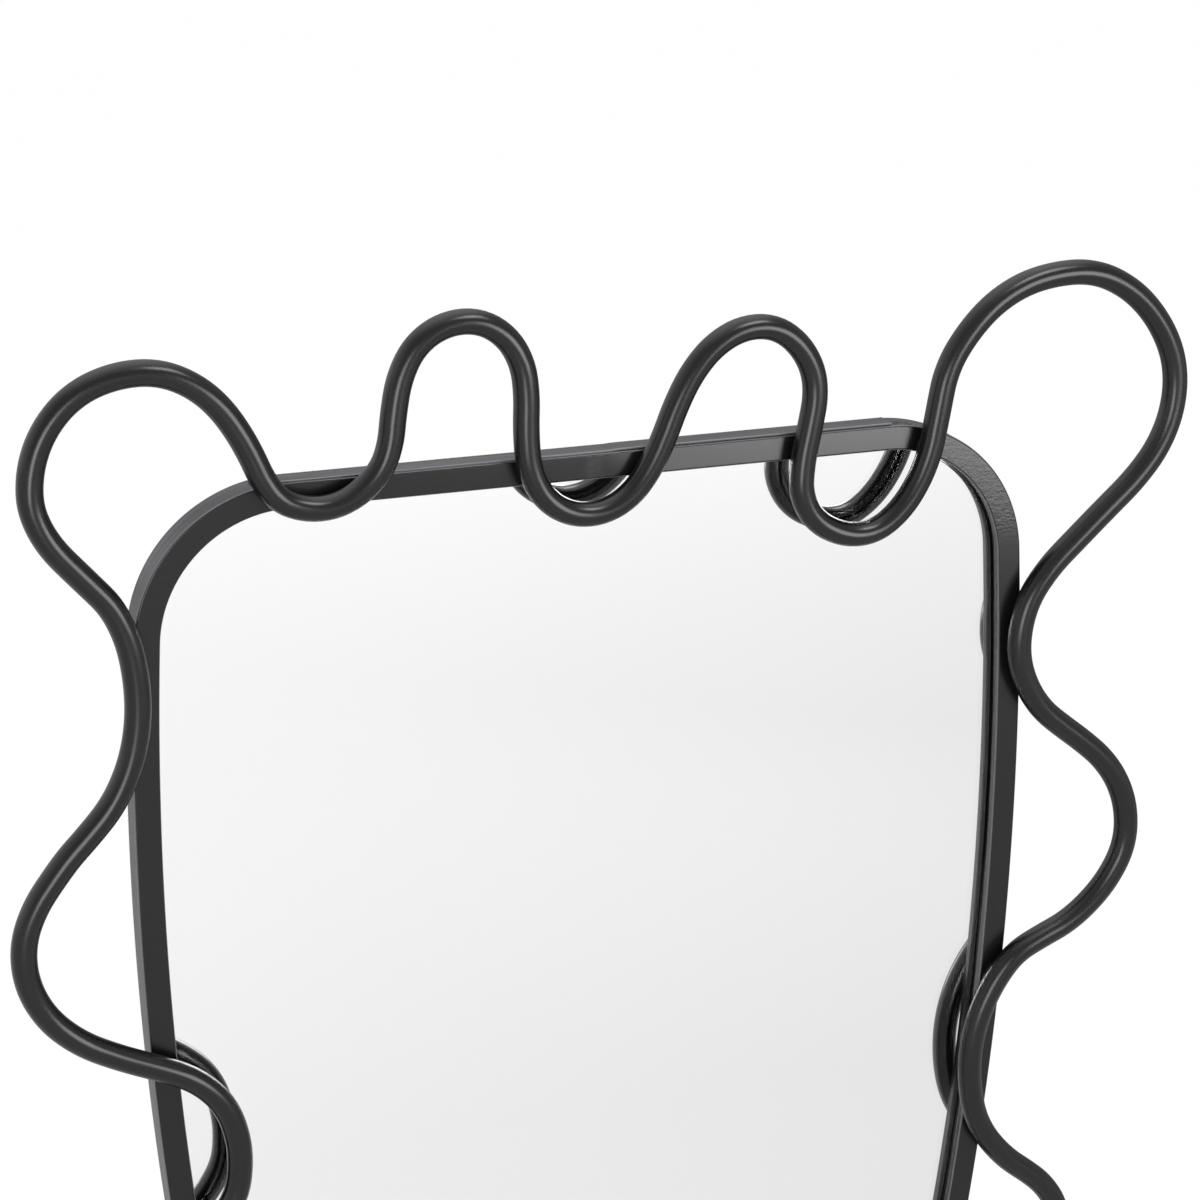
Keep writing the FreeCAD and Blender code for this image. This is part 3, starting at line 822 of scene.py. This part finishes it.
bm = bmesh.new()
for spot in solids_of("wave_welds"):
    near = min(range(len(wave_places)), key=lambda index: (wave_places[index] - spot).length)
    after = wave_places[(near + 1) % len(wave_places)]
    heading = (after - wave_places[near - 1]).normalized()
    beside = Vector((-heading.z, 0, heading.x))
    middle = Vector((wave_places[near].x, bead_front, wave_places[near].z))
    if (spot - middle).length > bead_reach:
        middle = Vector((spot.x, bead_front, spot.z))
    for side in (-1, 1):
        for step in range(-2, 3):
            size = (1.5 + 0.25 * math.sin(7 * step + 40 * spot.x)) * MM
            centre = middle + heading * step * drop_every * MM + beside * side * bead_aside * MM
            drop(bm, centre, (size, bead_depth, 1.3 * size), math.atan2(heading.z, heading.x))
melt("tube_beads", bm, 0.4 * MM, ("wave_welds",))

# %% [markdown]
# ## The welds of the strip
#
# The strip's lifted end is closed by a row of low drops that runs off it, down the
# corner, and two short beads hold its back edge. A few drops of spatter froze on the
# rail beside the lump.

# %% The lump, the beads behind and the spatter
def top_drop(x):
    """How far the outline has dropped below its top at a place across it"""
    centre, radius = corner(0.0, 0.0, 1)
    past = max(0, abs(x) - centre.x)
    return radius - math.sqrt(radius ** 2 - past ** 2)


strip_middle = strip_front + strip_depth / 2
strip_back = strip_front + strip_depth
lump_drop = 2.0 * MM
lump_height = 2.6 * MM
back_drop = (1.3 * MM, 1.2 * MM, 1.2 * MM)
drop_lean = 0.2

bm = bmesh.new()
for index in range(8):
    x = strip_end + (0.2 + 2.35 * index) * MM
    y = strip_middle + 0.6 * MM * math.sin(2.3 * index)
    crest = (1.3 - 0.12 * index + 0.15 * math.sin(4.1 * index)) * MM - top_drop(x)
    reach = (lump_drop, (5.6 - 0.2 * index) * MM, lump_height)
    drop(bm, Vector((x, y, crest - lump_height)), reach, drop_lean)
melt("end_lump", bm, 0.35 * MM, ("strip_weld_end",))

bm = bmesh.new()
for share in (0.05, 0.28):
    for index in range(11):
        x = strip_start + share * (strip_end - strip_start) + (1 + 1.8 * index) * MM
        wander = 0.15 * MM * math.sin(1.9 * index + share * 30)
        drop(bm, Vector((x, strip_back + 0.2 * MM, wander)), back_drop, drop_lean)
melt("back_beads", bm, 0.3 * MM, ("strip_welds_back",))

bm = bmesh.new()
for index in range(9):
    x = strip_end + (2 + 2.2 * index + 1.3 * math.sin(5 * index)) * MM
    y = (1.4 + 1.6 * abs(math.sin(2.7 * index + 1))) * MM
    size = (0.35 + 0.25 * abs(math.sin(3.1 * index))) * MM
    drop(bm, Vector((x, y, -top_drop(x))), (size, size, size * 0.8))
make_piece("spatter", bm, powder_coat)

# %% [markdown]
# ## Tabs that hold the board
#
# Eight small steel tabs are welded inside the frame behind the board, and one screw
# through each holds it. A tab is a flat blank with its two free corners rounded. It is
# made once at the origin, pointing across, then turned to its place. Each weld is two
# drops at the tab's two ends.

# %% Tabs and their welds
tab_width = 22 * MM
tab_reach = 20 * MM
tab_thickness = 2 * MM
tab_corner = 3 * MM
root_depth = 0.8 * MM
tab_drop = (1.9 * MM, 1.0 * MM, 1.9 * MM)
tab_front = board_front + board_thickness
tab_sides = [0.20, 0.52, 0.84]
tab_rail = -0.10 * frame_width


def side_edge(drop_down, inset):
    """Half width of the outline at a drop below the top edge"""
    radius = side_radius - inset
    return frame_width / 2 - side_radius + math.sqrt(radius ** 2 - (drop_down - widest_drop) ** 2)


def tab_places():
    """Where each tab leaves the frame, and the way it points as a turn"""
    places = []
    for side, turn in ((-1, 0.0), (1, math.pi)):
        for share in tab_sides:
            drop_down = share * frame_height
            places.append((Vector((side * side_edge(drop_down, bar_face), 0, -drop_down)), turn))
    places.append((Vector((tab_rail, 0, -bar_face)), -math.pi / 2))
    places.append((Vector((tab_rail, 0, bar_face - frame_height)), math.pi / 2))
    return places


def turned_to(place, turn):
    return Matrix.Translation(place) @ Matrix.Rotation(-turn, 4, "Y")


for index, (place, turn) in enumerate(tab_places()):
    bm = bmesh.new()
    size = Matrix.Diagonal((tab_reach + root_depth, tab_thickness, tab_width, 1))
    middle = Vector(((tab_reach - root_depth) / 2, tab_front + tab_thickness / 2, 0))
    bmesh.ops.create_cube(bm, size=1, matrix=Matrix.Translation(middle) @ size)
    free = [edge for edge in bm.edges if all(vert.co.x > 0 for vert in edge.verts)]
    bevel_edges(bm, [edge for edge in free if abs(span(edge).y) > MM], tab_corner, 6)
    soften(bm, 0.25 * MM)
    bmesh.ops.transform(bm, matrix=turned_to(place, turn), verts=bm.verts)
    weighted_normals(make_piece(
        f"tab_{index + 1}", bm, powder_coat, replaces=(f"board_tab_{index + 1}",)))

bm = bmesh.new()
for place, turn in tab_places():
    for end in (-1, 1):
        for step in range(3):
            y = tab_front + (0.3 + 0.7 * step) * MM
            centre = Vector((0.6 * MM, y, end * (tab_width / 2 + 0.5 * MM)))
            drop(bm, turned_to(place, turn) @ centre, tab_drop)
melt("tab_beads", bm, 0.4 * MM, ("tab_welds",))

# %% [markdown]
# ## Hangers
#
# Each hanger is a strip of sheet steel with its top rolled round a D-shaped wire ring.
# The strap is a flat section dragged up and then rolled by the bender about the ring's
# axis. The ring is a circle dragged round half of the D, then mirrored. Both are made
# about the hanger's own middle and then moved to their side of the frame.

# %% Straps and rings
hanger_drop = 0.301 * frame_height
hanger_inset = 10.5 * MM
strap_width = 10 * MM
strap_thickness = 1.2 * MM
strap_length = 38 * MM
strap_corner = 3.5 * MM
eye_turn = math.radians(318)
eye_step = 0.5 * MM
ring_wire = 1.5 * MM
ring_half = 7.75 * MM
ring_corner = 3 * MM
ring_play = 0.3 * MM
ring_axis = bar_depth + strap_thickness + ring_play + ring_wire
FACING_SIDE = (-1, 0, 0)

plated, tree, place = new_material("zinc_plate")
spangle = grain(tree, place, 520, detail=2.0)
drawn = grain(tree, place, 900, detail=3.0, stretch=(1, 1, 0.08))
tone = blend_colours(tree, spangle, (0.50, 0.505, 0.50), (0.62, 0.62, 0.60))
finish_principled(tree, {
    "Base Color": tone, "Metallic": 1.0, "Roughness": 0.26 + 0.16 * drawn,
    "Normal": bumped(tree, drawn, 0.02 * MM)})

nickel, tree, place = new_material("nickel_plate")
scuff = grain(tree, place, 800, detail=3.0)
tone = blend_colours(tree, scuff, (0.60, 0.585, 0.55), (0.70, 0.685, 0.65))
finish_principled(tree, {
    "Base Color": tone, "Metallic": 1.0, "Roughness": 0.12 + 0.14 * scuff,
    "Normal": bumped(tree, scuff, 0.01 * MM)})


def strap_mesh():
    """A strap with its eye rolled round the ring's axis"""
    bm = bmesh.new()
    low = Vector((0, bar_depth + strap_thickness / 2, -strap_length))
    half, back = strap_width / 2, bar_depth + strap_thickness
    places = (-half, bar_depth), (half, bar_depth), (half, back), (-half, back)
    corners = [bm.verts.new((x, y, low.z)) for x, y in places]
    foot = bm.faces.new(corners)
    section = corners + list(foot.edges)
    bmesh.ops.delete(bm, geom=[foot], context="FACES_ONLY")
    roll = Vector((0, ring_axis, 0))
    top = Vector((0, low.y, 0))
    drag(bm, section, [
        line_move(low, top, steps=2), arc_move(roll, top, eye_turn, eye_step, axis=FACING_SIDE)])
    bmesh.ops.holes_fill(bm, edges=bm.edges, sides=0)
    feet = [edge for edge in bm.edges if all(vert.co.z < MM - strap_length for vert in edge.verts)]
    bevel_edges(bm, [edge for edge in feet if abs(span(edge).x) < MM / 10], strap_corner, 8)
    soften(bm, 0.2 * MM)
    return bm


def ring_mesh():
    """A D of wire, its straight side on the axis"""
    bm = bmesh.new()
    start = Vector((0, ring_axis, 0))
    bend = Vector((ring_half - ring_corner, ring_axis, 0))
    section = circle_section(bm, start, Vector((1, 0, 0)), ring_wire, 24)
    below = Vector((0, 0, -ring_corner))
    drag(bm, section, [
        line_move(start, bend, steps=2), arc_move(bend + below, bend, -math.pi / 2, 0.5 * MM),
        arc_move(start + below, start + below + Vector((ring_half, 0, 0)), -math.pi / 2, 0.8 * MM)])
    mirror_across(bm)
    return bm


for side, name in ((-1, "left"), (1, "right")):
    hanger_place = Vector((side * side_edge(hanger_drop, hanger_inset), 0, -hanger_drop))
    strap = strap_mesh()
    bmesh.ops.translate(strap, verts=strap.verts, vec=hanger_place)
    weighted_normals(make_piece(
        f"strap_{name}", strap, plated, replaces=(f"hanger_strap_{name}",)))
    ring = ring_mesh()
    bmesh.ops.translate(ring, verts=ring.verts, vec=hanger_place)
    make_piece(
        f"ring_wire_{name}", ring, nickel, body=f"ring_{name}", replaces=(f"hanger_ring_{name}",))

# %% [markdown]
# ## Rubber feet
#
# Four rubber feet keep the hangers off the wall. A foot is a turned shape: half of its
# outline goes once round with the spin operator. Its rim is rounded and its flat has
# the small dimple that the mould leaves.

# %% Turn the feet
foot_radius = 6 * MM
foot_height = 8 * MM
foot_rim = 1 * MM
rim_steps = 6
foot_dimple = [(1.6 * MM, 0), (1.3 * MM, 0.5 * MM), (0, 0.6 * MM)]

rubber, tree, place = new_material("rubber")
bloom = grain(tree, place, 240, detail=2.0)
pores = grain(tree, place, 2600, detail=1.0)
tone = blend_colours(tree, bloom, (0.017, 0.017, 0.017), (0.030, 0.030, 0.029))
finish_principled(tree, {
    "Base Color": tone, "Roughness": 0.62 + 0.2 * pores,
    "Normal": bumped(tree, pores, 0.05 * MM)})


def foot_mesh(place):
    """A foot turned about its own axis, from its base to the dimple's middle"""
    bm = bmesh.new()
    inner, shoulder = foot_radius - foot_rim, foot_height - foot_rim
    outline = [(0, 0), (foot_radius, 0), (foot_radius, shoulder)]
    for step in range(1, rim_steps + 1):
        turn = step * math.pi / (2 * rim_steps)
        outline.append((inner + foot_rim * math.cos(turn), shoulder + foot_rim * math.sin(turn)))
    outline += [(radius, foot_height - sunk) for radius, sunk in foot_dimple]
    points = [bm.verts.new((place.x + radius, bar_depth + high, place.z))
              for radius, high in outline]
    lines = [bm.edges.new(pair) for pair in zip(points, points[1:])]
    bmesh.ops.spin(
        bm, geom=points + lines, cent=(place.x, 0, place.z), axis=(0, 1, 0), angle=2 * math.pi,
        steps=40, use_merge=True)
    bmesh.ops.remove_doubles(bm, verts=bm.verts, dist=same_place)
    return bm


for level, share in (("upper", 0.145), ("lower", 0.831)):
    for side, name in ((-1, "left"), (1, "right")):
        foot_drop = share * frame_height
        place_of_foot = Vector((side * side_edge(foot_drop, bar_face / 2), 0, -foot_drop))
        weighted_normals(make_piece(
            f"foot_{level}_{name}", foot_mesh(place_of_foot), rubber,
            replaces=(f"bumper_{level}_{name}",)))

# %% [markdown]
# ## Screws and tape
#
# The screws and the strips of tape have the right shape in the CAD model already, so
# they stay and only get their finish: bright zinc for the screws, and a soft foam with
# small open cells for the tape.

# %% Finishes for the CAD nodes that stay
tape, tree, place = new_material("foam_tape")
cells = grain(tree, place, 1500, detail=2.0, roughness=0.6)
tone = blend_colours(tree, cells, (0.56, 0.56, 0.54), (0.70, 0.70, 0.68))
finish_principled(tree, {
    "Base Color": tone, "Roughness": 0.8 + 0.15 * cells, "Normal": bumped(tree, cells, 0.1 * MM)})

for name, finish in (("mounting_tape", tape), ("tab_screws", plated), ("hanger_screws", plated)):
    for held in nodes[name].material_slots:
        held.material = finish
    print(name, "is finished in", finish.name)

# %% [markdown]
# ## The room
#
# The picture is a plain studio one: a pale floor that runs on into a white room. The
# mirror looks down at the floor in front of it, so the floor decides the mirror's grey.
# For glossy and transmission rays the floor glows with a painted grade of light, which
# falls a little from the far left to the near right, and behind the mirror it mostly
# glows less, as painted shade. The camera sees the floor glow plain white. A share of
# real shading keeps the object's shadow on it. The room itself is grey, with a bright
# ceiling, a bright wall at the left and a dark corner behind at the right, which the
# satin steel mirrors at its edges.

# %% Floor and world
floor_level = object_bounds()[0][2]
floor_mesh = bpy.data.meshes.new("floor")
bm = bmesh.new()
bmesh.ops.create_grid(bm, x_segments=1, y_segments=1, size=30)
bmesh.ops.translate(bm, verts=bm.verts, vec=(0, 0, floor_level))
bm.to_mesh(floor_mesh)
bm.free()
floor = bpy.data.objects.new("floor", floor_mesh)
bpy.context.scene.collection.objects.link(floor)

floor_material, tree, place = new_material("pale_floor")
light_path = tree.nodes.new("ShaderNodeLightPath")
seen = Signal(light_path.outputs["Is Camera Ray"])
glossy = Signal(light_path.outputs["Is Glossy Ray"])
mirrored = glossy + Signal(light_path.outputs["Is Transmission Ray"])
floor_x, floor_y, _ = split_place(tree, place)
nearness = clamp_ramp(tree, floor_y, -3.6, -0.9)
rightness = clamp_ramp(tree, floor_x, -0.3, 2.0)
behind = clamp_ramp(tree, floor_y, -0.1, 0.5)
leftwards = clamp_ramp(tree, floor_x + 0.4 * floor_y, 0.0, -0.6)
# The glow's grade is painted light, and its dip behind the mirror is painted shade.
level = 1.11 - 0.24 * nearness - (0.05 + 0.20 * nearness) * rightness
level = level + behind * (0.5 * leftwards - 0.42)
grey = blend_colours(tree, 0.5 * (level * (1 - seen) + seen), (0, 0, 0), (2, 2, 2))
glow = make_node(tree, "ShaderNodeEmission", {}, {"Color": grey, "Strength": 1.0})
matt = make_node(tree, "ShaderNodeBsdfDiffuse", {}, {"Color": (0.8, 0.8, 0.8, 1)})
glowing = 0.93
share = make_node(tree, "ShaderNodeMath", {"operation": "MINIMUM"}, {0: seen + mirrored, 1: 1.0})
finish_material(
    tree, make_node(tree, "ShaderNodeMixShader", {}, {0: share * glowing, 1: matt, 2: glow}))
floor_mesh.materials.append(floor_material)

world = bpy.data.worlds.new("room")
bpy.context.scene.world = world
world.use_nodes = True
tree = world.node_tree
tree.nodes.clear()
way = make_node(tree, "ShaderNodeTexCoord", {}, {}, output="Generated")
seen = make_node(tree, "ShaderNodeLightPath", {}, {}, output="Is Camera Ray")


def towards(azimuth, height):
    """A way to look: degrees to the right of straight back, and degrees up"""
    turn, rise = math.radians(azimuth), math.radians(height)
    level_way = math.sin(turn) * math.cos(rise), math.cos(turn) * math.cos(rise)
    return Vector((*level_way, math.sin(rise)))


def patch(azimuth, height, inner, outer):
    """1 within an angle of a way to look, falling to 0 at a wider angle"""
    near = make_node(
        tree, "ShaderNodeVectorMath", {"operation": "DOT_PRODUCT"},
        {0: way, 1: towards(azimuth, height)}, output="Value")
    return clamp_ramp(tree, near, math.cos(math.radians(outer)), math.cos(math.radians(inner)))


room_level = 0.6
ceiling, far_ceiling = 1.0 * patch(0, 90, 22, 45), 0.8 * patch(0, 62, 20, 45)
left_wall, dark_corner = 0.9 * patch(-68, 0, 20, 62), 0.35 * patch(50, -5, 12, 34)
level = room_level + ceiling + left_wall + far_ceiling - dark_corner
grey = blend_colours(tree, level * (1 / 3), (0, 0, 0), (2.895, 2.865, 3.0))
room = make_node(tree, "ShaderNodeBackground", {}, {"Color": grey, "Strength": 1.0})
white = make_node(tree, "ShaderNodeBackground", {}, {"Color": (1, 1, 1, 1), "Strength": 1.0})
background = make_node(tree, "ShaderNodeMixShader", {}, {0: seen, 1: room, 2: white})
output = tree.nodes.new("ShaderNodeOutputWorld")
tree.links.new(background.socket, output.inputs["Surface"])
print("floor at", round(floor_level, 4))

# %% [markdown]
# ## Lamps
#
# Three soft boxes stand two metres away: one in front at the left, one in front at the
# right, and one high up at the right. Each draws one of the light lines along the tube.
# On a round tube such a line shows which way its lamp is, so the lines in the picture
# gave the lamps their places.

# %% Lamps
lit_place = Vector((0, 0, 0.2))
away = 2.0


def looking(place, way):
    """Where a lamp or a camera stands and the way that it looks"""
    return Matrix.Translation(place) @ way.to_track_quat("-Z", "Y").to_matrix().to_4x4()


def soft_box(name, azimuth, height, tall, wide, radiance):
    """A soft box seen from the mirror at a place in the room, with its two sizes in degrees"""
    lamp = bpy.data.lights.new(name, "AREA")
    lamp.shape = "RECTANGLE"
    lamp.size = 2 * away * math.tan(math.radians(wide / 2))
    lamp.size_y = 2 * away * math.tan(math.radians(tall / 2))
    lamp.energy = radiance * math.pi * lamp.size * lamp.size_y
    held = bpy.data.objects.new(name, lamp)
    way = towards(azimuth, height)
    held.matrix_world = looking(lit_place + way * away, -way)
    bpy.context.scene.collection.objects.link(held)


soft_box("left_box", azimuth=-158, height=1, tall=24, wide=20, radiance=7.5)
soft_box("right_box", azimuth=147, height=8, tall=24, wide=28, radiance=7.8)
soft_box("top_box", azimuth=146, height=58, tall=14, wide=24, radiance=9.5)

# %% [markdown]
# ## Camera
#
# The picture was taken with a long lens from the left and above, near enough that the
# right side looks clearly smaller. The camera's place, turn and lens come from solving
# the frame's straight edges.

# %% Camera
camera_place = drawing_origin + Vector((-0.637, -1.7383, 0.4934))
camera_turn = 20.153
camera_dip = 17.569
camera_data = bpy.data.cameras.new("camera")
camera_data.lens = 95.12
camera_data.sensor_width = 36
camera_data.clip_end = 100
camera = bpy.data.objects.new("camera", camera_data)
camera.matrix_world = looking(camera_place, towards(camera_turn, -camera_dip))
bpy.context.scene.collection.objects.link(camera)
bpy.context.scene.camera = camera
bpy.context.scene.view_settings.view_transform = "Standard"
print("camera at", tuple(round(value, 3) for value in camera_place))
